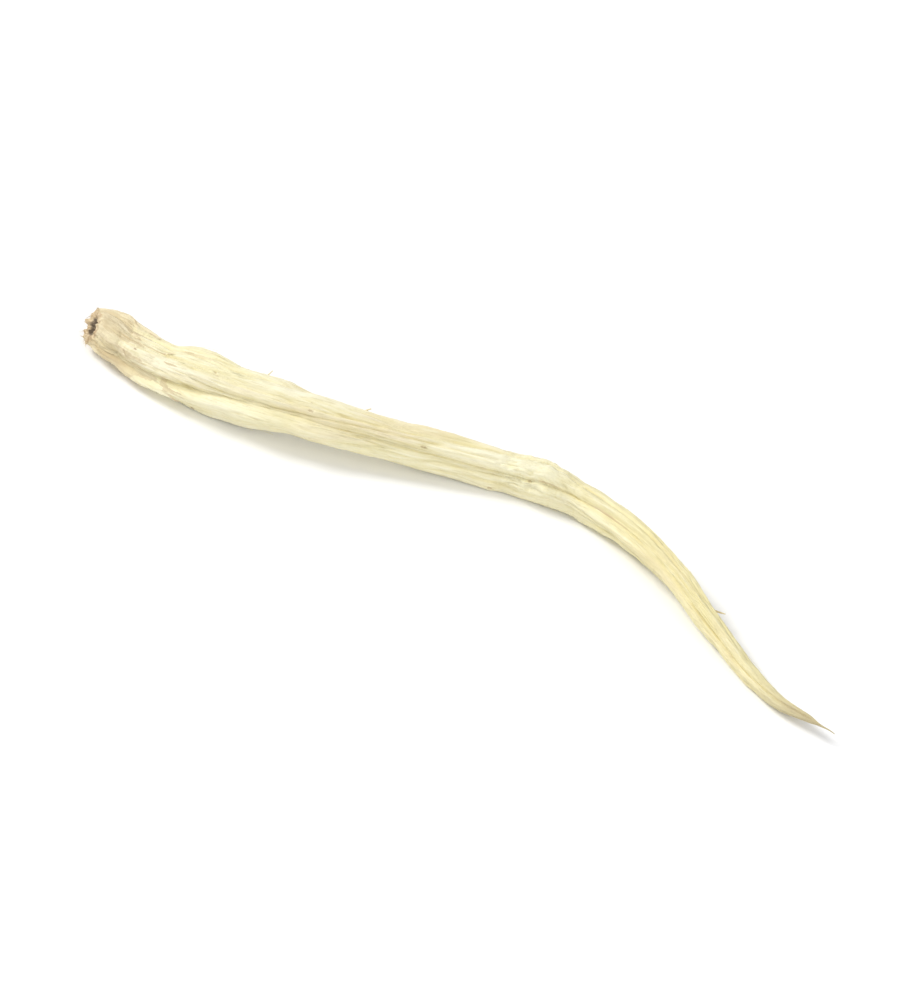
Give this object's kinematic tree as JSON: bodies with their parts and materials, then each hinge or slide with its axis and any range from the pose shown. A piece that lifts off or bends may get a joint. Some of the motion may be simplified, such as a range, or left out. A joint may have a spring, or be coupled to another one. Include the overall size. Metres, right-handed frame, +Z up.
{
  "type": "dried safed musli root",
  "caption": "Slender peeled and dried root with long furrows, tapering from a blunt, hollowed crown end over a bend to a thin lifted tip, lying on a flat surface.",
  "frame": {"origin": "under the middle of the root's box, on the surface that it lies on", "axes": "+X from the crown end towards the tip of the tail, +Y to the side that the bow stands out to, +Z up"},
  "size_m": [0.107, 0.0178, 0.0068],
  "materials": {
    "dried_flesh": "matt, dry, ivory to pale yellow"
  },
  "bodies": {
    "root": {"root": "dried_flesh"}
  },
  "joints": []
}
